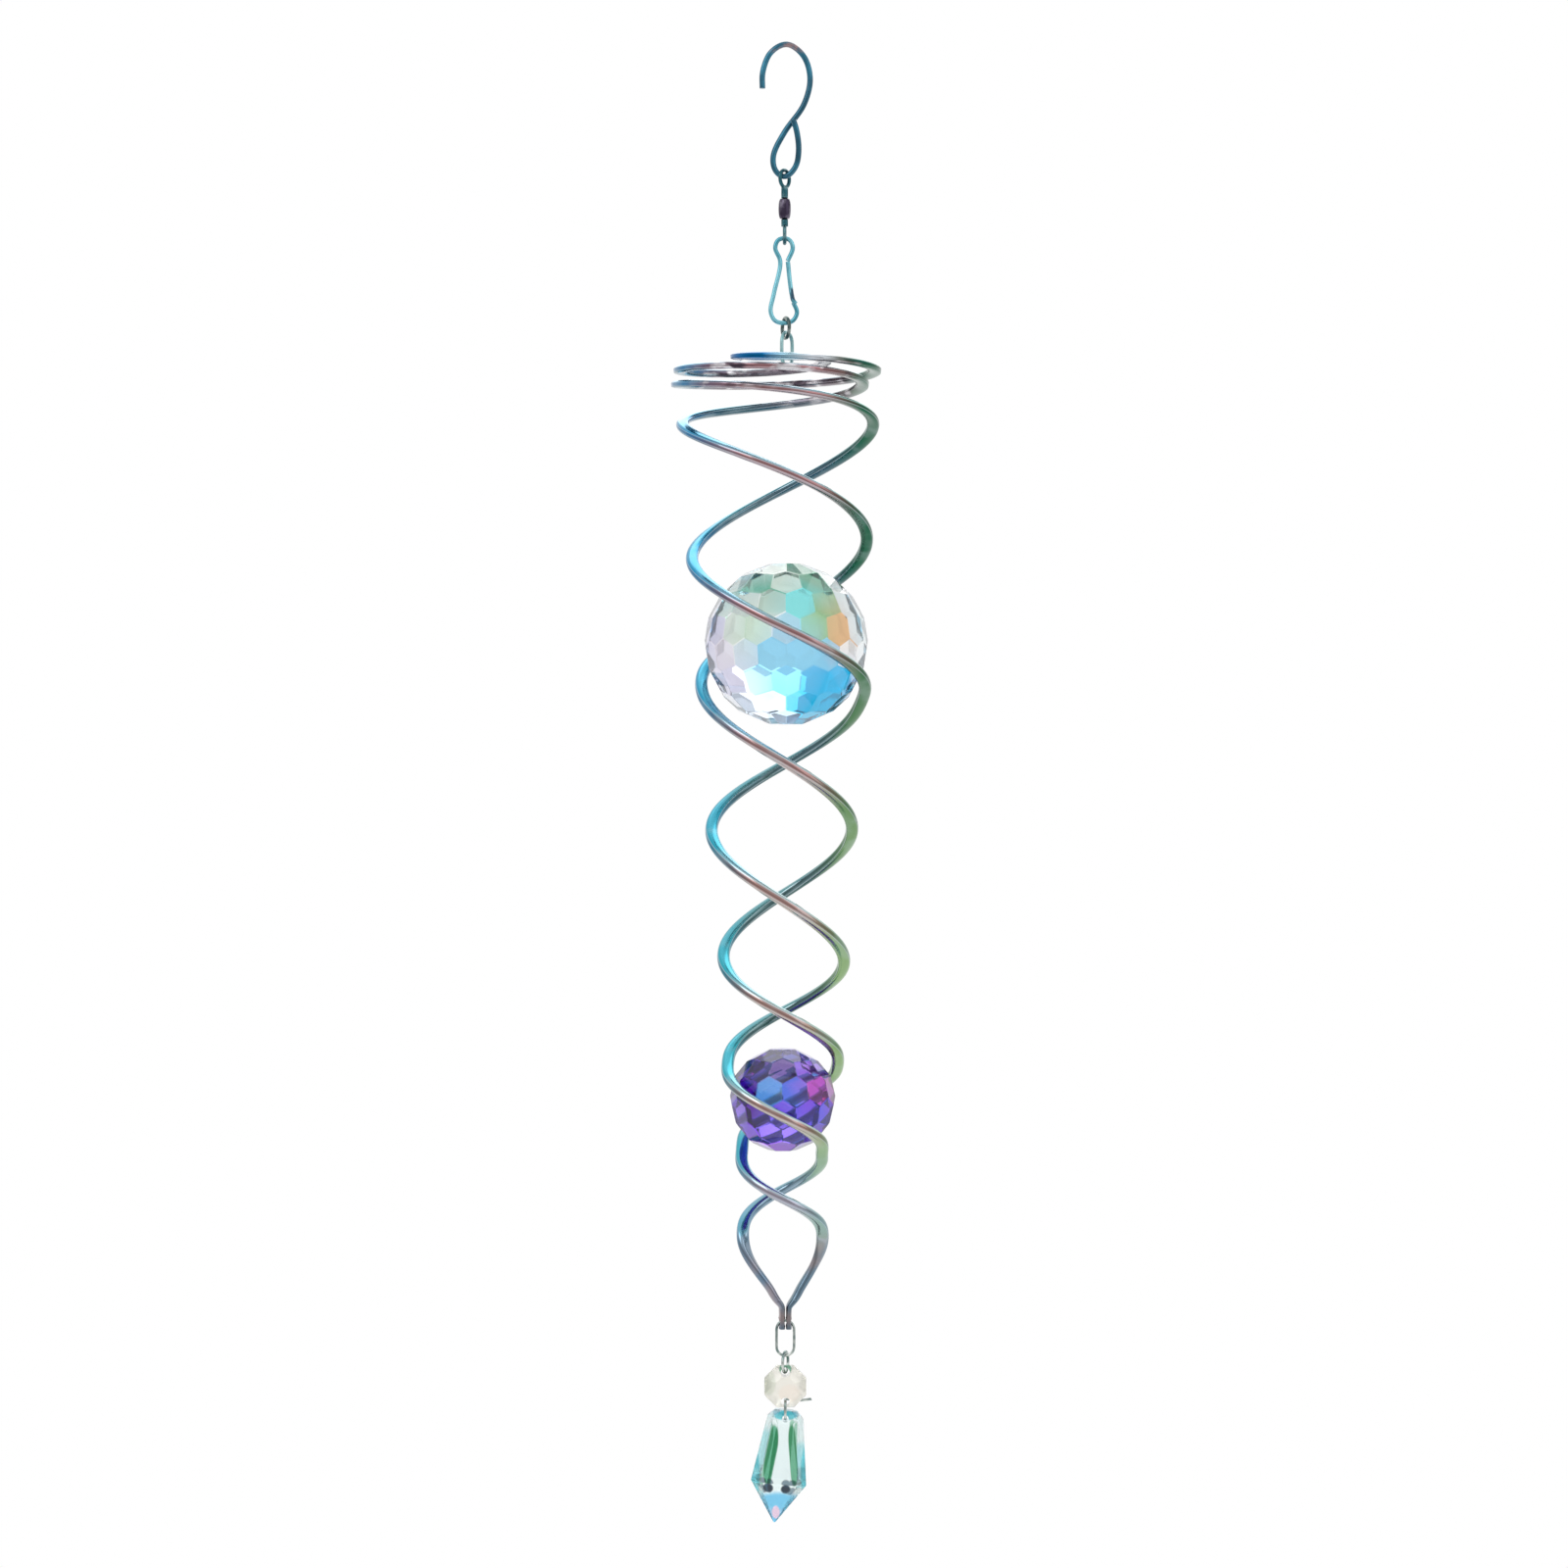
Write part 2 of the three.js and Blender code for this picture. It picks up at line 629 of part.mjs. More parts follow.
// A staple of wire through the bead's lower hole and the drop's hole, with one end left long.
function beadPin() {
  const top = BEAD_Z - BEAD_HOLE_OFFSET;
  const bottom = DROP_TOP_Z - DROP_HOLE_DEPTH;
  const leg = 3.6;
  const corner = 0.7;
  return smoothWire(
    [
      point(6.6, leg + 0.3, top + 1.4),
      point(3.6, leg + 0.3, top + 0.3),
      point(0.8, leg, top),
      point(0, leg - corner, top),
      point(0, 0, top),
      point(0, corner - leg, top),
      point(0, -leg, top - corner),
      point(0, -leg, bottom + corner),
      point(0, corner - leg, bottom),
      point(0, 0, bottom),
      point(0, leg - corner, bottom),
      point(0, leg, bottom + corner),
      point(0, leg + 0.1, (top + bottom) / 2),
    ],
    PIN_WIRE,
    52,
  );
}

// ---------------------------------------------------------------- assembly

const blueSteel = { color: 0x2f7f95, metalness: 0.9, roughness: 0.3 };
const polishedSteel = { color: 0xa9b4b8, metalness: 1, roughness: 0.18 };
const darkNickel = { color: 0x5b5560, metalness: 0.9, roughness: 0.4 };
const clearCrystal = { color: 0xdff4fb, metalness: 0, roughness: 0.03 };
const violetCrystal = { color: 0x6f43c9, metalness: 0, roughness: 0.03 };

function piece(name, geometry, finish, x = 0) {
  const mesh = new THREE.Mesh(geometry, new THREE.MeshStandardMaterial(finish));
  mesh.name = name;
  mesh.position.x = x;
  return mesh;
}

const hangingGear = new THREE.Group().add(
  piece("s_hook", sHook(), blueSteel),
  piece("swivel_top_eye", swivelTopEye(), darkNickel, SWIVEL_X),
  piece("swivel_barrel", swivelBarrel(), darkNickel, SWIVEL_X),
  piece("swivel_bottom_eye", swivelBottomEye(), darkNickel, SWIVEL_X),
  piece("snap_body", snapBody(), blueSteel, SNAP_X),
  piece("snap_gate", snapGate(), blueSteel, SNAP_X),
  piece("top_link_1", topLink1(), darkNickel, LINK_1_X),
  piece("top_link_2", topLink2(), polishedSteel),
);

const spinner = new THREE.Group().add(
  piece("spiral", spiral(), polishedSteel),
  piece("large_crystal_ball", crystalBall(LARGE_BALL, LARGE_BALL_CUT), clearCrystal),
  piece("small_crystal_ball", crystalBall(SMALL_BALL, SMALL_BALL_CUT), violetCrystal),
);

const drop = piece("crystal_drop", crystalDrop(), clearCrystal, PENDANT_X);
drop.position.z = DROP_TOP_Z - DROP_HOLE_DEPTH;
drop.rotation.y = degrees(DROP_TILT);

const pendant = new THREE.Group().add(
  piece("lower_link", lowerLink(), polishedSteel, PENDANT_X),
  piece("bead_link", beadLink(), polishedSteel, PENDANT_X),
  piece("crystal_bead", crystalBead(), clearCrystal, PENDANT_X),
  piece("bead_pin", beadPin(), polishedSteel, PENDANT_X),
  drop,
);

export default new THREE.Group().add(hangingGear, spinner, pendant);
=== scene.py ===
"""Looks for the hanging crystal wind spinner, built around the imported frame.

Units are metres, +Z is up, and the front faces -Y. The origin is the inside top of the hook.
"""

import json
import math

import bmesh
import bpy
from mathutils import Matrix, Vector


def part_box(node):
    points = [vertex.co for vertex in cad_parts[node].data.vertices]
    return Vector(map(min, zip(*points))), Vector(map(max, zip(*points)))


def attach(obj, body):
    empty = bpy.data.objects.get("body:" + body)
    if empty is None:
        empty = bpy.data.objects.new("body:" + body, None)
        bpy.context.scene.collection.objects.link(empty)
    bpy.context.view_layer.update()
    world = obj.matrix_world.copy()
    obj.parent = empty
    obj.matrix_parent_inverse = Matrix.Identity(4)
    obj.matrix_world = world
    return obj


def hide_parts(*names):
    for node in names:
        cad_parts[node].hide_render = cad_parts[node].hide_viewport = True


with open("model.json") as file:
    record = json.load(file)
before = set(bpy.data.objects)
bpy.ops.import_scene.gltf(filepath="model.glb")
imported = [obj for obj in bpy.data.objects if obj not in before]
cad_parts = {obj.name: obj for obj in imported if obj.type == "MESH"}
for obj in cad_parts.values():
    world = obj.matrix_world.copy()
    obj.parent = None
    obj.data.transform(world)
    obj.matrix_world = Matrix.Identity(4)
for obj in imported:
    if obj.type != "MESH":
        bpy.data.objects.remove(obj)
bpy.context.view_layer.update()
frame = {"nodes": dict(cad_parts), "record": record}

MM = 0.001
FACET_COLOURS = "facet_colours"

# Before smoothing, two triangles become one face where the angle between them is within
# JOINED_FACES and the new face's corners are within JOINED_CORNERS of square. Edges sharper than
# SHARP_EDGE stay sharp. Triangles within SAME_FACET of each other are one facet of a crystal.
SMOOTHING_LEVELS = 2
JOINED_FACES = math.radians(35)
JOINED_CORNERS = math.radians(60)
SHARP_EDGE = math.radians(55)
SAME_FACET = math.radians(1)

# The swell of the spiral's strip fades out over NECK_FADE above NECK_TOP, because the lower link
# fits closely round the neck below it.
NECK_TOP = -0.388
NECK_FADE = 0.006

# Heights between which the spiral's painted reflection changes, each from where it starts to where
# it is full.
COIL_HEIGHTS = (-0.1085, -0.1045)
BAR_HEIGHTS = (-0.0987, -0.0981)
PALER_HEIGHTS = (-0.15, -0.29)
LAST_TURN_HEIGHTS = (-0.33, -0.355)
NECK_HEIGHTS = (-0.360, -0.372)

CAMERA_DISTANCE = 1.2
CAMERA_FIELD = 0.48
CAMERA_X = -0.0009
CAMERA_Z = -0.2256
LIGHTS_AIM = (0, 0, -0.22)
FLOOR_Z = -1.0
FLOOR_RADIUS = 2.2


# ---------------------------------------------------------------- frame helpers


def body_of(node):
    """The name of the body that a CAD node belongs to."""
    bodies = frame["record"]["behaviour"]["bodies"]
    return next(body for body, nodes in bodies.items() if node in nodes)


def centre_of(node):
    low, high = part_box(node)
    return (low + high) / 2


def stand_in(piece, node, material):
    """piece takes the place of a CAD node: its body and its visibility."""
    piece.data.materials.clear()
    piece.data.materials.append(material)
    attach(piece, body_of(node))
    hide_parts(node)


def new_piece(name, mesh_builder):
    """A new object from a bmesh, which is freed."""
    mesh = bpy.data.meshes.new(name)
    mesh_builder.to_mesh(mesh)
    mesh_builder.free()
    piece = bpy.data.objects.new(name, mesh)
    bpy.context.scene.collection.objects.link(piece)
    return piece


def node_mesh(node):
    """A bmesh copy of a CAD node, with its shared corners merged."""
    copy = bmesh.new()
    copy.from_mesh(frame["nodes"][node].data)
    bmesh.ops.remove_doubles(copy, verts=copy.verts, dist=1e-6)
    return copy


# ---------------------------------------------------------------- shapes


def polished_wire(node, name, swell):
    """A CAD wire or strip with its facets smoothed away. The swell gives back what smoothing takes.

    It fades out at the spiral's neck, where the lower link fits closely.
    """
    copy = node_mesh(node)
    bmesh.ops.join_triangles(
        copy,
        faces=copy.faces,
        angle_face_threshold=JOINED_FACES,
        angle_shape_threshold=JOINED_CORNERS,
    )
    crease = copy.edges.layers.float.new("crease_edge")
    for edge in copy.edges:
        if edge.calc_face_angle(0) > SHARP_EDGE:
            edge[crease] = 1.0
    piece = new_piece(name, copy)
    smooth_out(piece)
    swell_out(piece, swell, fades=node == "spiral")
    piece.data.shade_smooth()
    return piece


def smooth_out(piece):
    """Gives a piece its subdivided mesh, in place of a modifier."""
    smoothing = piece.modifiers.new("smoothing", "SUBSURF")
    smoothing.levels = SMOOTHING_LEVELS
    smoothing.render_levels = SMOOTHING_LEVELS
    depsgraph = bpy.context.evaluated_depsgraph_get()
    smooth = bpy.data.meshes.new_from_object(piece.evaluated_get(depsgraph))
    piece.modifiers.clear()
    piece.data = smooth


def swell_out(piece, swell, fades):
    """Moves a piece's surface outwards, and less towards the neck where the swell fades."""
    normals = [vertex.normal.copy() for vertex in piece.data.vertices]
    for vertex, normal in zip(piece.data.vertices, normals):
        above_neck = (vertex.co.z - NECK_TOP) / NECK_FADE
        share = min(max(above_neck, 0), 1) if fades else 1
        vertex.co += normal * swell * share


def show_pin_end(piece):
    """Bends the pin's long end out from behind the bead, to the right and a little down."""
    low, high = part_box("bead_pin")
    straight_share = 0.15
    start = low.x + straight_share * (high.x - low.x)
    longer = 1.4 * MM
    lower = 1.5 * MM
    for vertex in piece.data.vertices:
        share = max((vertex.co.x - start) / (high.x - start), 0)
        vertex.co.x += longer * share
        vertex.co.z -= lower * share


def cut_ball(node, name, bevel):
    """A CAD ball with its flat facets whole and a fine bevel between them."""
    copy = node_mesh(node)
    bmesh.ops.dissolve_limit(
        copy, angle_limit=SAME_FACET, verts=copy.verts, edges=copy.edges
    )
    gem = bmesh.new()
    widest_share = 0.3
    for facet in copy.faces:
        middle = facet.calc_center_median()
        for corner in facet.verts:
            inwards = middle - corner.co
            share = min(bevel / inwards.length, widest_share)
            gem.verts.new(corner.co + inwards * share)
    copy.free()
    bmesh.ops.convex_hull(gem, input=gem.verts)
    bmesh.ops.dissolve_limit(
        gem, angle_limit=SAME_FACET / 2, verts=gem.verts, edges=gem.edges
    )
    piece = new_piece(name, gem)
    piece.data.shade_flat()
    return piece


def patch_colour(outwards, base, back, patches):
    """The colour in one direction from a ball's centre. The back shows through the front facets.

    Each patch is (direction, size, colour). It is full inside its size and gone at its reach.
    """
    colour = Vector(back if outwards.y > 0.1 else base)
    for direction, size, patch in patches:
        away = (outwards - Vector(direction).normalized()).length
        reach = 1.2 * size
        fade = 0.2 * size
        share = min(max((reach - away) / fade, 0), 1)
        colour = colour.lerp(Vector(patch), share)
    return colour


def colour_facets(piece, centre, base, back, patches):
    """Colours a ball's facets: one tone to each facet, graded a little across it."""
    colours = piece.data.color_attributes.new(FACET_COLOURS, "FLOAT_COLOR", "CORNER")
    grading = 0.3
    for facet in piece.data.polygons:
        outwards = (Vector(facet.center) - centre).normalized()
        flat = patch_colour(outwards, base, back, patches)
        # A sine of its direction gives each facet a tone of its own, the same on every run.
        own_tone = math.sin(97 * outwards.x + 57 * outwards.z + 31 * outwards.y)
        tone = 0.92 + 0.08 * own_tone
        for corner in facet.loop_indices:
            place = piece.data.vertices[piece.data.loops[corner].vertex_index].co
            here = patch_colour((place - centre).normalized(), base, back, patches)
            red, green, blue, _ = flat.lerp(here, grading) * tone
            colours.data[corner].color = (red, green, blue, 1)


def cut_drilled_gem(node, name, bevel):
    """A drilled CAD crystal with a fine bevel on its long edges. The holes stay as they are."""
    copy = node_mesh(node)
    bmesh.ops.dissolve_limit(
        copy, angle_limit=SAME_FACET, verts=copy.verts, edges=copy.edges
    )
    shortest = 14 * bevel
    flattest = math.radians(8)
    edges = [
        edge
        for edge in copy.edges
        if edge.calc_length() > shortest and edge.calc_face_angle(0) > flattest
    ]
    bmesh.ops.bevel(
        copy,
        geom=edges,
        offset=bevel,
        segments=1,
        profile=0.5,
        affect="EDGES",
        clamp_overlap=True,
    )
    piece = new_piece(name, copy)
    piece.data.shade_flat()
    return piece


# ---------------------------------------------------------------- material helpers


def set_stops(ramp, stops):
    """Gives a colour ramp node its (position, colour) stops."""
    elements = ramp.color_ramp.elements
    while len(elements) < len(stops):
        elements.new(1.0)
    for element, (position, colour) in zip(elements, stops):
        element.position = position
        element.color = colour


class Shader:
    """A node material under construction."""

    def __init__(self, name):
        self.material = bpy.data.materials.new(name)
        self.material.use_nodes = True
        self.tree = self.material.node_tree
        self.surface = self.tree.nodes["Principled BSDF"]
        self.coordinates = self.tree.nodes.new("ShaderNodeTexCoord")

    def set(self, **values):
        """Sets the surface's own sockets, such as Metallic=1."""
        for key, value in values.items():
            self.surface.inputs[key.replace("_", " ")].default_value = value

    def link(self, source, target):
        self.tree.links.new(source, target)

    def feed(self, socket, value):
        """Puts a number, a colour or another node's output into a socket."""
        if isinstance(value, bpy.types.NodeSocket):
            self.link(value, socket)
        else:
            socket.default_value = value

    def math(self, operation, a, b=0.0, c=0.0):
        """One arithmetic step. Only MULTIPLY_ADD uses the third number."""
        node = self.tree.nodes.new("ShaderNodeMath")
        node.operation = operation
        self.feed(node.inputs[0], a)
        self.feed(node.inputs[1], b)
        self.feed(node.inputs[2], c)
        return node.outputs[0]

    def vector_math(self, operation, a, b, output=0):
        node = self.tree.nodes.new("ShaderNodeVectorMath")
        node.operation = operation
        self.feed(node.inputs[0], a)
        self.feed(node.inputs[1], b)
        return node.outputs[output]

    def split(self, vector):
        node = self.tree.nodes.new("ShaderNodeSeparateXYZ")
        self.link(vector, node.inputs[0])
        return node.outputs

    def ease(self, value, low, high):
        """0 below low and 1 above high, with a smooth turn between."""
        node = self.tree.nodes.new("ShaderNodeMapRange")
        node.interpolation_type = "SMOOTHSTEP"
        self.feed(node.inputs["Value"], value)
        node.inputs["From Min"].default_value = low
        node.inputs["From Max"].default_value = high
        return node.outputs[0]

    def mix(self, factor, a, b):
        node = self.tree.nodes.new("ShaderNodeMix")
        node.data_type = "RGBA"
        self.feed(node.inputs[0], factor)
        self.feed(node.inputs[6], a)
        self.feed(node.inputs[7], b)
        return node.outputs[2]

    def ramp(self, value, stops):
        """A colour ramp through (position, colour) stops."""
        node = self.tree.nodes.new("ShaderNodeValToRGB")
        set_stops(node, stops)
        self.feed(node.inputs[0], value)
        return node.outputs[0]

    def noise(self, scale, detail=2.0, stretch=(1, 1, 1)):
        mapping = self.tree.nodes.new("ShaderNodeMapping")
        mapping.inputs["Scale"].default_value = stretch
        self.link(self.coordinates.outputs["Object"], mapping.inputs["Vector"])
        node = self.tree.nodes.new("ShaderNodeTexNoise")
        node.inputs["Scale"].default_value = scale
        node.inputs["Detail"].default_value = detail
        self.link(mapping.outputs[0], node.inputs["Vector"])
        return node.outputs[0]

    def bump(self, height, strength, distance):
        node = self.tree.nodes.new("ShaderNodeBump")
        node.inputs["Strength"].default_value = strength
        node.inputs["Distance"].default_value = distance
        self.link(height, node.inputs["Height"])
        self.link(node.outputs[0], self.surface.inputs["Normal"])

    def colour(self, value):
        self.feed(self.surface.inputs["Base Color"], value)


def linear(red, green, blue):
    """A colour given in the usual 0 to 255 steps, as the linear RGBA that shaders take."""

    def channel(value):
        share = value / 255
        return share / 12.92 if share <= 0.04045 else ((share + 0.055) / 1.055) ** 2.4

    return (channel(red), channel(green), channel(blue), 1.0)


# ---------------------------------------------------------------- metals


def coated_wire(name, dark, light, roughness):
    """Drawn steel wire under a clear coat, its colour varying along its length."""
    shader = Shader(name)
    shader.set(Metallic=0.85, Roughness=roughness, Coat_Weight=0.6, Coat_Roughness=0.08)
    depth = shader.ease(shader.noise(120, 3), 0.35, 0.65)
    shader.colour(shader.mix(depth, dark, light))
    shader.bump(shader.noise(500, 2), 0.05, 0.0001)
    return shader


def hook_lacquer():
    """Blue-green lacquered steel, with a painted brownish highlight on top of the arch."""
    shader = coated_wire("blue_steel", linear(12, 76, 98), linear(32, 112, 138), 0.28)
    wire_colour = shader.surface.inputs["Base Color"].links[0].from_socket
    _, _, height = shader.split(shader.coordinates.outputs["Object"])
    arch_starts = -2.5 * MM
    arch_top = -0.5 * MM
    arch = shader.ease(height, arch_starts, arch_top)
    # A painted brownish highlight on top of the arch, broken up by noise.
    arch_highlight = shader.math("MULTIPLY", arch, shader.ease(shader.noise(240, 2), 0.42, 0.6))
    shader.colour(shader.mix(arch_highlight, wire_colour, linear(140, 116, 118)))
    return shader.material


def snap_sky_reflection():
    """Painted sky reflection in light aqua, dark where the snap's gate closes on its catch."""
    shader = coated_wire("aqua_steel", linear(66, 146, 164), linear(122, 190, 204), 0.25)
    # The light aqua here is painted sky reflection, not a coloured coat.
    wire_colour = shader.surface.inputs["Base Color"].links[0].from_socket
    low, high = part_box("snap_gate")
    across, _, height = shader.split(shader.coordinates.outputs["Object"])
    catch_z = low.z + 0.25 * (high.z - low.z)
    distance = shader.math("ABSOLUTE", shader.math("SUBTRACT", height, catch_z))
    near = shader.ease(distance, 2.6 * MM, 1.4 * MM)
    right_side = shader.ease(across, 0.5 * MM, 1.5 * MM)
    dark = shader.math("MULTIPLY", near, right_side)
    shader.colour(shader.mix(dark, wire_colour, linear(8, 62, 86)))
    return shader.material


def plated(name, dark, light):
    """Nickel plate with fine turning marks, paler where it rubs."""
    shader = Shader(name)
    shader.set(Metallic=1.0, Roughness=0.32)
    worn = shader.ease(shader.noise(420, 4), 0.45, 0.75)
    shader.colour(shader.mix(worn, dark, light))
    shader.bump(shader.noise(2500, 2, (0.2, 0.2, 1)), 0.1, 0.00004)
    return shader.material


# The painted reflection of the surroundings to the left, front, right and back of the spiral's
# axis, on the upper turns and then on the lower ones.
PAINTED_REFLECTION_COLOURS = {
    "edge": (
        ((20, 106, 150), (150, 112, 114), (0, 78, 52), (80, 108, 120)),
        ((40, 112, 130), (156, 126, 120), (96, 128, 90), (84, 110, 112)),
    ),
    "top_face": (
        ((22, 140, 186), (150, 172, 182), (90, 156, 136), (88, 146, 158)),
        ((52, 164, 180), (176, 192, 192), (160, 196, 160), (110, 156, 158)),
    ),
    "underside": (
        ((58, 112, 132), (168, 152, 158), (0, 88, 60), (70, 100, 112)),
        ((84, 140, 144), (184, 172, 164), (132, 164, 112), (84, 110, 108)),
    ),
}


def around(shader, share_of_turn, colours):
    """Four colours around the spiral's axis, each broad in its middle and eased into the next."""
    left, front, right, back = [linear(*colour) for colour in colours]
    stops = [(0.0, left), (0.08, left), (0.2, front), (0.31, front), (0.41, right), (0.55, right)]
    stops += [(0.66, back), (0.84, back), (0.94, left), (1.0, left)]
    return shader.ramp(share_of_turn, stops)


def painted_reflection_on(shader, face, share_of_turn, low):
    """The painted reflection on one kind of face, from its upper colours to its paler lower ones.
    """
    upper, lower = [around(shader, share_of_turn, colours) for colours in PAINTED_REFLECTION_COLOURS[face]]
    return shader.mix(low, upper, lower)


def spiral_steel():
    """Mirror-polished strip with painted reflections that change with the way each face looks.

    The painted reflection is blue on the left, grey and brown in front, green on the right and
    slate behind. It is painted brightest on the top faces, and paler on the lower turns.
    """
    shader = Shader("polished_steel")
    shader.set(Metallic=1.0, Roughness=0.16)
    axis = centre_of("spiral")
    place = shader.vector_math(
        "SUBTRACT", shader.coordinates.outputs["Object"], (axis.x, 0, 0)
    )
    east, north, height = shader.split(place)
    _, _, upwards = shader.split(shader.coordinates.outputs["Normal"])
    turn = shader.math("ARCTAN2", north, east)
    share = shader.math("MULTIPLY_ADD", turn, 1 / (2 * math.pi), 0.5)
    low = shader.ease(height, *PALER_HEIGHTS)
    # Painted reflections of the surroundings, one set of colours for each kind of face.
    edge = painted_reflection_on(shader, "edge", share, low)
    top_face = painted_reflection_on(shader, "top_face", share, low)
    underside = painted_reflection_on(shader, "underside", share, low)
    painted_reflection = shader.mix(shader.ease(upwards, 0.25, 0.5), edge, top_face)
    painted_reflection = shader.mix(shader.ease(upwards, -0.25, -0.5), painted_reflection, underside)
    painted_reflection = add_highlights(shader, painted_reflection, upwards)
    painted_reflection = add_neck_reflection(shader, painted_reflection, height)
    painted_reflection = add_coil_patches(shader, painted_reflection, east, height)
    shader.colour(add_bar_reflection(shader, painted_reflection, east, north, height))
    shader.bump(shader.noise(600, 2), 0.04, 0.0001)
    return shader.material


def add_highlights(shader, painted_reflection, upwards):
    """Pale rims between the edge and the faces, an aqua glint on top and faint pale stretches."""
    slope = shader.math("ABSOLUTE", upwards)
    rim = shader.math(
        "MULTIPLY", shader.ease(slope, 0.25, 0.36), shader.ease(slope, 0.5, 0.4)
    )
    painted_reflection = shader.mix(shader.math("MULTIPLY", rim, 0.45), painted_reflection, linear(200, 208, 216))
    glint = shader.ease(upwards, 0.72, 0.92)
    painted_reflection = shader.mix(shader.math("MULTIPLY", glint, 0.35), painted_reflection, linear(110, 214, 238))
    pale = shader.ease(shader.noise(90, 2), 0.5, 0.68)
    return shader.mix(shader.math("MULTIPLY", pale, 0.16), painted_reflection, linear(190, 206, 210))


def add_neck_reflection(shader, painted_reflection, height):
    """The last turn's painted reflection pales; the neck's is slate with lilac and brown stretches.
    """
    last_turn = shader.math("MULTIPLY", shader.ease(height, *LAST_TURN_HEIGHTS), 0.45)
    painted_reflection = shader.mix(last_turn, painted_reflection, linear(150, 176, 204))
    neck = shader.math("MULTIPLY", shader.ease(height, *NECK_HEIGHTS), 0.8)
    # The neck's painted reflection, in slate and lilac-brown stretches.
    stretch = shader.ease(shader.noise(60, 2), 0.42, 0.6)
    neck_reflection = shader.mix(stretch, linear(96, 116, 136), linear(164, 138, 134))
    return shader.mix(neck, painted_reflection, neck_reflection)


def add_coil_patches(shader, painted_reflection, east, height):
    """The close coil at the spiral's top mirrors its own turns in dark, pink and pale patches."""
    coil = shader.ease(height, *COIL_HEIGHTS)
    middle = shader.ease(shader.math("ABSOLUTE", east), 28 * MM, 18 * MM)
    coil = shader.math("MULTIPLY", coil, middle)
    dark = shader.ease(shader.noise(150, 2, (1, 1, 3)), 0.46, 0.64)
    pale = shader.ease(shader.noise(170, 2, (1, 1, 2)), 0.5, 0.68)
    painted_reflection = shader.mix(shader.math("MULTIPLY", coil, 0.4), painted_reflection, linear(160, 112, 118))
    painted_reflection = shader.mix(shader.math("MULTIPLY", coil, dark), painted_reflection, linear(70, 60, 70))
    return shader.mix(shader.math("MULTIPLY", coil, pale), painted_reflection, linear(216, 212, 216))


def add_bar_reflection(shader, painted_reflection, east, north, height):
    """Paints reflections on the bar and the front arm's first part, from left to right.

    They go from teal and deep blue through pale grey to dark green.
    """
    in_front = shader.ease(north, 12 * MM, 6 * MM)
    bar = shader.math("MULTIPLY", in_front, shader.ease(height, *BAR_HEIGHTS))
    bar_length = 50 * MM
    # Painted reflection along the bar, from left to right.
    painted_colour = shader.ramp(
        shader.math("MULTIPLY_ADD", east, 1 / bar_length, 0.5),
        [
            (0.0, linear(40, 110, 130)),
            (0.2, linear(0, 92, 150)),
            (0.42, linear(20, 104, 156)),
            (0.56, linear(150, 190, 206)),
            (0.72, linear(216, 222, 230)),
            (0.88, linear(96, 100, 96)),
            (1.0, linear(20, 90, 78)),
        ],
    )
    return shader.mix(bar, painted_reflection, painted_colour)


def small_steel():
    """Bright steel of the small links and the pin."""
    shader = Shader("bright_steel")
    shader.set(Metallic=1.0, Roughness=0.2)
    tone = shader.ease(shader.noise(350, 3), 0.35, 0.7)
    shader.colour(shader.mix(tone, linear(110, 132, 130), linear(200, 205, 200)))
    shader.bump(shader.noise(3000, 2), 0.08, 0.00004)
    return shader.material


# ---------------------------------------------------------------- crystals


def glass(name, clearness):
    """Cut glass with a thin coating, still without its colour. A clearness of 1 is quite clear."""
    shader = Shader(name)
    shader.set(Roughness=0.02, IOR=1.54, Transmission_Weight=clearness)
    shader.set(Coat_Weight=0.15, Coat_Roughness=0.02)
    return shader


def faceted_glass(name):
    """Glass that takes each facet's painted colour."""
    shader = glass(name, 0.9)
    colours = shader.tree.nodes.new("ShaderNodeVertexColor")
    colours.layer_name = FACET_COLOURS
    shader.colour(colours.outputs["Color"])
    return shader.material


def patched_glass(node, base, patches, clearness):
    """Glass with soft patches of painted colour that go through its whole depth.

    Each patch is (place, size, colour). Places and sizes are across and up, from -1 to 1 over
    the node.
    """
    shader = glass(f"{node}_glass", clearness)
    low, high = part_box(node)
    centre, half = (low + high) / 2, (high - low) / 2
    here = shader.vector_math(
        "SUBTRACT", shader.coordinates.outputs["Object"], tuple(centre)
    )
    here = shader.vector_math("MULTIPLY", here, (1 / half.x, 0, 1 / half.z))
    colour = base
    for (across, up), (width, height), painted_colour in patches:
        away = shader.vector_math("SUBTRACT", here, (across, 0, up))
        away = shader.vector_math("DIVIDE", away, (width, 1, height))
        distance = shader.vector_math("LENGTH", away, (0, 0, 0), "Value")
        colour = shader.mix(shader.ease(distance, 1.0, 0.7), colour, painted_colour)
    shader.colour(colour)
    return shader.material


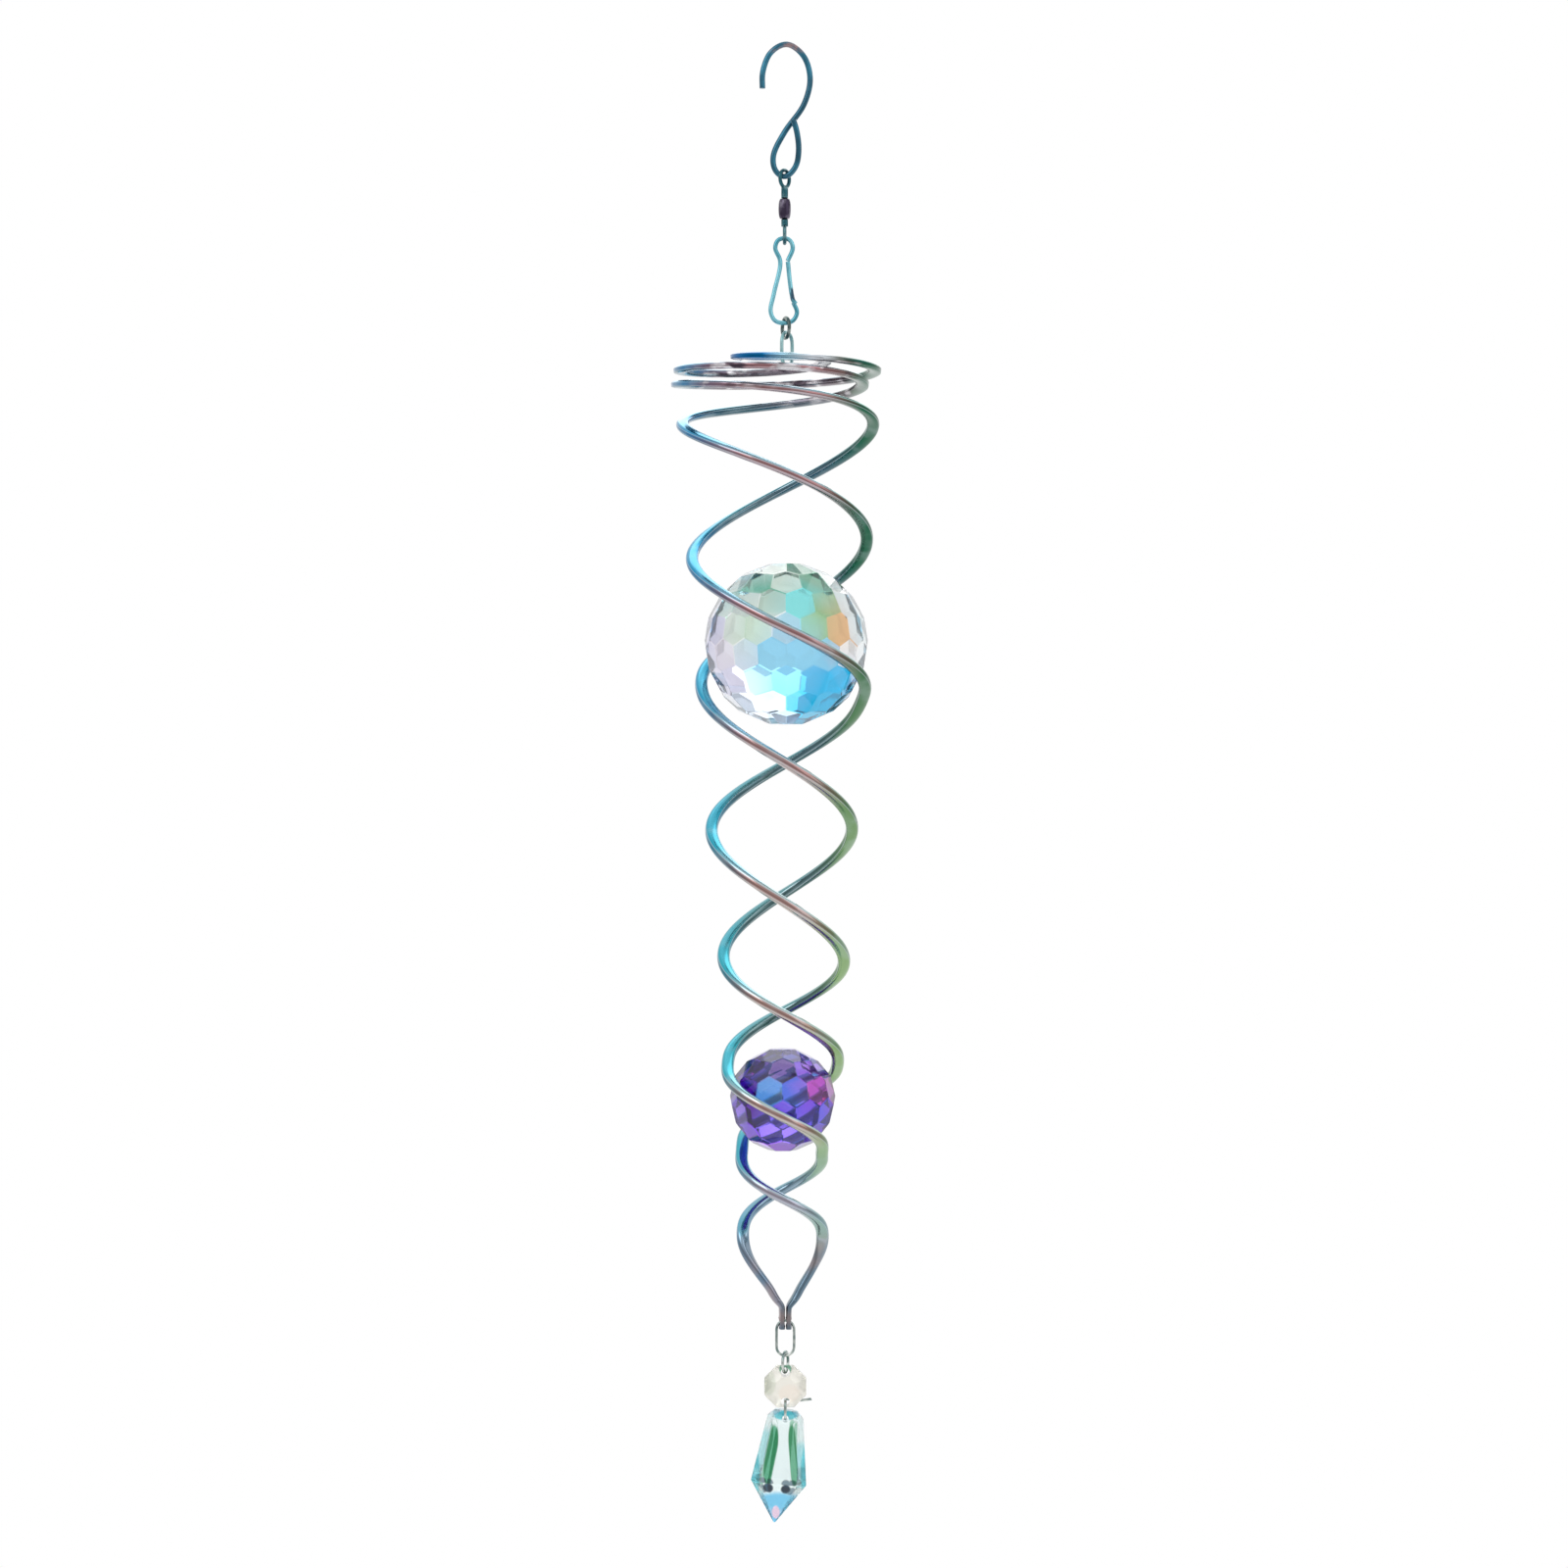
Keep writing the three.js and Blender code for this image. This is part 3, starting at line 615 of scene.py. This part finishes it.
# A ball's patches are (direction from its centre, size, colour).
# The large ball is clear: its patches are painted refraction of the surroundings, sky blue below
# and green above, with pale painted highlights and an orange spot.
LARGE_BALL_PATCHES = [
    ((0.0, -0.15, 1.0), 0.36, linear(206, 236, 242)),
    ((0.1, -0.75, -0.4), 0.62, linear(98, 198, 250)),
    ((0.3, -0.5, -0.75), 0.6, linear(70, 184, 250)),
    ((0.5, -0.5, -0.65), 0.42, linear(0, 150, 240)),
    ((0.25, -0.25, -0.9), 0.36, linear(0, 160, 240)),
    ((-0.7, -0.5, -0.5), 0.36, linear(214, 206, 244)),
    ((-0.35, -0.4, -0.85), 0.33, linear(200, 220, 250)),
    ((0.1, -0.6, 0.78), 0.46, linear(44, 134, 92)),
    ((-0.05, -0.5, 0.85), 0.2, linear(202, 222, 204)),
    ((-0.55, -0.55, 0.62), 0.24, linear(74, 156, 130)),
    ((0.22, -0.85, 0.42), 0.26, linear(80, 224, 222)),
    ((0.55, -0.76, 0.3), 0.3, linear(96, 158, 88)),
    ((0.72, -0.66, 0.14), 0.26, linear(236, 156, 84)),
    ((0.9, -0.36, 0.3), 0.26, linear(206, 232, 238)),
    ((-0.45, -0.86, 0.22), 0.22, linear(176, 216, 178)),
    ((-0.95, -0.3, 0.1), 0.36, linear(172, 168, 212)),
    ((-0.8, -0.5, -0.1), 0.2, linear(228, 214, 236)),
]

# Over the small ball's own violet, a painted lilac highlight on top, among aqua, blue, pink and
# deeper violet facets.
SMALL_BALL_PATCHES = [
    ((0.0, 0.0, 1.0), 0.5, linear(58, 20, 176)),
    ((-0.7, -0.5, 0.5), 0.6, linear(44, 2, 112)),
    ((0.5, -0.4, 0.78), 0.36, linear(172, 140, 255)),
    ((0.0, -0.72, 0.68), 0.3, linear(132, 124, 140)),
    ((-0.25, -0.94, 0.22), 0.24, linear(0, 206, 232)),
    ((0.25, -0.94, 0.22), 0.24, linear(40, 140, 244)),
    ((0.7, -0.68, 0.22), 0.36, linear(255, 60, 180)),
    ((0.96, -0.25, 0.22), 0.34, linear(176, 12, 110)),
    ((0.7, -0.66, -0.22), 0.36, linear(60, 56, 240)),
    ((0.25, -0.94, -0.22), 0.2, linear(96, 80, 246)),
    ((0.0, -0.8, -0.6), 0.4, linear(132, 108, 255)),
    ((-0.7, -0.68, -0.22), 0.32, linear(56, 2, 116)),
    ((-0.96, -0.25, -0.22), 0.3, linear(164, 134, 236)),
    ((-0.3, -0.3, -0.9), 0.4, linear(124, 4, 180)),
    ((0.45, -0.3, -0.85), 0.36, linear(60, 6, 140)),
]

# The bead's and the drop's patches are (place, size, colour), as patched_glass takes them.
# The bead's green patch at its top is painted refraction of the surroundings.
BEAD_PATCHES = [
    ((0.0, 0.85), (0.34, 0.3), linear(120, 180, 150)),
    ((-0.8, 0.2), (0.4, 0.7), linear(226, 230, 216)),
    ((0.2, -0.3), (0.6, 0.5), linear(252, 244, 234)),
]


def band(top, bottom, size, colour, count=8):
    """A straight band of colour, as a row of patches between two places."""
    steps = [index / (count - 1) for index in range(count)]
    return [
        ((top[0] + step * (bottom[0] - top[0]), top[1] + step * (bottom[1] - top[1])), size, colour)
        for step in steps
    ]


# The drop is clear: its patches are painted refraction of the surroundings, green bands, cyan
# edges, a light blue tip and dark navy spots.
DROP_PATCHES = [
    ((0.0, -0.75), (1.2, 0.4), linear(120, 206, 244)),
    ((-0.1, -0.78), (0.16, 0.14), linear(244, 214, 236)),
    ((-0.95, -0.1), (0.32, 0.6), linear(110, 214, 226)),
    ((1.05, -0.1), (0.3, 0.6), linear(110, 214, 226)),
    *band((-0.15, 0.5), (-0.4, -0.06), (0.17, 0.3), linear(40, 136, 88)),
    *band((0.48, 0.5), (0.57, -0.06), (0.15, 0.3), linear(60, 146, 100)),
    ((-0.38, -0.33), (0.22, 0.1), linear(2, 30, 52)),
    ((0.26, -0.35), (0.2, 0.09), linear(2, 30, 52)),
    ((0.25, 0.9), (0.5, 0.09), linear(60, 186, 200)),
]


# ---------------------------------------------------------------- pieces


def build_metal():
    hook = hook_lacquer()
    aqua = snap_sky_reflection()
    pale_aqua = coated_wire(
        "pale_aqua_steel", linear(120, 168, 172), linear(190, 210, 208), 0.4
    ).material
    dark = plated("dark_nickel", linear(62, 54, 72), linear(126, 120, 134))
    teal = plated("teal_nickel", linear(48, 92, 102), linear(128, 160, 164))
    grey = plated("grey_nickel", linear(76, 92, 92), linear(172, 180, 174))
    steel = spiral_steel()
    bright = small_steel()
    # Each wire's node, its material and its swell in millimetres.
    wires = [
        ("s_hook", hook, 0.09),
        ("swivel_top_eye", teal, 0.03),
        ("swivel_barrel", dark, 0.0),
        ("swivel_bottom_eye", teal, 0.03),
        ("snap_body", aqua, 0.07),
        ("snap_gate", aqua, 0.07),
        ("top_link_1", grey, 0.02),
        ("top_link_2", pale_aqua, 0.02),
        ("spiral", steel, 0.1),
        ("lower_link", bright, 0.01),
        ("bead_link", bright, 0.045),
        ("bead_pin", bright, 0.04),
    ]
    for node, material, swell in wires:
        piece = polished_wire(node, f"{node}_polished", swell * MM)
        stand_in(piece, node, material)
        if node == "bead_pin":
            show_pin_end(piece)


def build_crystals():
    ball_glass = faceted_glass("faceted_glass")
    clear = linear(250, 253, 254)
    violet = linear(72, 8, 190)
    pale_violet = linear(150, 112, 255)
    for node, base, back, patches in (
        ("large_crystal_ball", clear, clear, LARGE_BALL_PATCHES),
        ("small_crystal_ball", violet, pale_violet, SMALL_BALL_PATCHES),
    ):
        ball = cut_ball(node, f"{node}_cut", 0.25 * MM)
        colour_facets(ball, centre_of(node), base, back, patches)
        stand_in(ball, node, ball_glass)
    for node, base, patches, clearness in (
        ("crystal_bead", linear(250, 248, 240), BEAD_PATCHES, 0.5),
        ("crystal_drop", linear(240, 252, 252), DROP_PATCHES, 0.82),
    ):
        gem = cut_drilled_gem(node, f"{node}_cut", 0.12 * MM)
        stand_in(gem, node, patched_glass(node, base, patches, clearness))


# ---------------------------------------------------------------- studio


def add_camera():
    """A camera square on to the front, wide enough for the whole spinner."""
    camera = bpy.data.objects.new("camera", bpy.data.cameras.new("camera"))
    camera.data.sensor_width = 36
    camera.data.lens = camera.data.sensor_width * CAMERA_DISTANCE / CAMERA_FIELD
    camera.location = (CAMERA_X, -CAMERA_DISTANCE, CAMERA_Z)
    camera.rotation_euler = (math.radians(90), 0, 0)
    bpy.context.scene.collection.objects.link(camera)
    bpy.context.scene.camera = camera


def add_floor():
    """A round pale floor well below the hanging spinner."""
    builder = bmesh.new()
    bmesh.ops.create_circle(
        builder,
        cap_ends=True,
        segments=96,
        radius=FLOOR_RADIUS,
        matrix=Matrix.Translation((0, 0, FLOOR_Z)),
    )
    floor = new_piece("floor", builder)
    shader = Shader("pale_floor")
    shader.set(Roughness=0.6)
    tone = shader.ease(shader.noise(3, 3), 0.3, 0.7)
    shader.colour(shader.mix(tone, (0.9, 0.9, 0.9, 1), (0.94, 0.94, 0.94, 1)))
    floor.data.materials.append(shader.material)


def add_soft_light(name, place, size, power):
    light = bpy.data.lights.new(name, "AREA")
    light.shape = "RECTANGLE"
    light.size, light.size_y = size
    light.energy = power
    lamp = bpy.data.objects.new(name, light)
    lamp.location = place
    aim = Vector(LIGHTS_AIM) - Vector(place)
    lamp.rotation_euler = aim.to_track_quat("-Z", "Y").to_euler()
    bpy.context.scene.collection.objects.link(lamp)


def add_world():
    """White to the camera and behind the spinner, and dim at the horizon in front of it."""
    world = bpy.data.worlds.new("studio")
    world.use_nodes = True
    bpy.context.scene.world = world
    tree = world.node_tree
    nodes, links = tree.nodes, tree.links
    coordinates = nodes.new("ShaderNodeTexCoord")
    split = nodes.new("ShaderNodeSeparateXYZ")
    links.new(coordinates.outputs["Generated"], split.inputs[0])
    height = nodes.new("ShaderNodeMapRange")
    height.inputs["From Min"].default_value = -1
    links.new(split.outputs[2], height.inputs["Value"])
    ramp = nodes.new("ShaderNodeValToRGB")
    greys = [(0.0, 0.95), (0.35, 0.85), (0.5, 0.5), (0.62, 0.95), (1.0, 1.0)]
    set_stops(ramp, [(position, (grey, grey, grey, 1)) for position, grey in greys])
    links.new(height.outputs[0], ramp.inputs[0])
    behind = nodes.new("ShaderNodeMapRange")
    behind.inputs["From Min"].default_value = -0.1
    behind.inputs["From Max"].default_value = 0.4
    links.new(split.outputs[1], behind.inputs["Value"])
    path = nodes.new("ShaderNodeLightPath")
    white = nodes.new("ShaderNodeMath")
    white.operation = "MAXIMUM"
    links.new(behind.outputs[0], white.inputs[0])
    links.new(path.outputs["Is Camera Ray"], white.inputs[1])
    mix = nodes.new("ShaderNodeMix")
    mix.data_type = "RGBA"
    links.new(white.outputs[0], mix.inputs[0])
    links.new(ramp.outputs[0], mix.inputs[6])
    mix.inputs[7].default_value = (1, 1, 1, 1)
    links.new(mix.outputs[2], nodes["Background"].inputs[0])


def build_studio():
    add_floor()
    add_soft_light("key", (-1.2, -1.4, 1.1), (1.4, 1.4), 9)
    add_soft_light("fill", (1.5, -1.2, 0.3), (1.2, 1.4), 4)
    add_soft_light("back", (0.3, 1.6, 1.0), (1.5, 1.5), 7)
    add_world()
    bpy.context.scene.view_settings.view_transform = "Standard"


add_camera()
build_metal()
build_crystals()
build_studio()
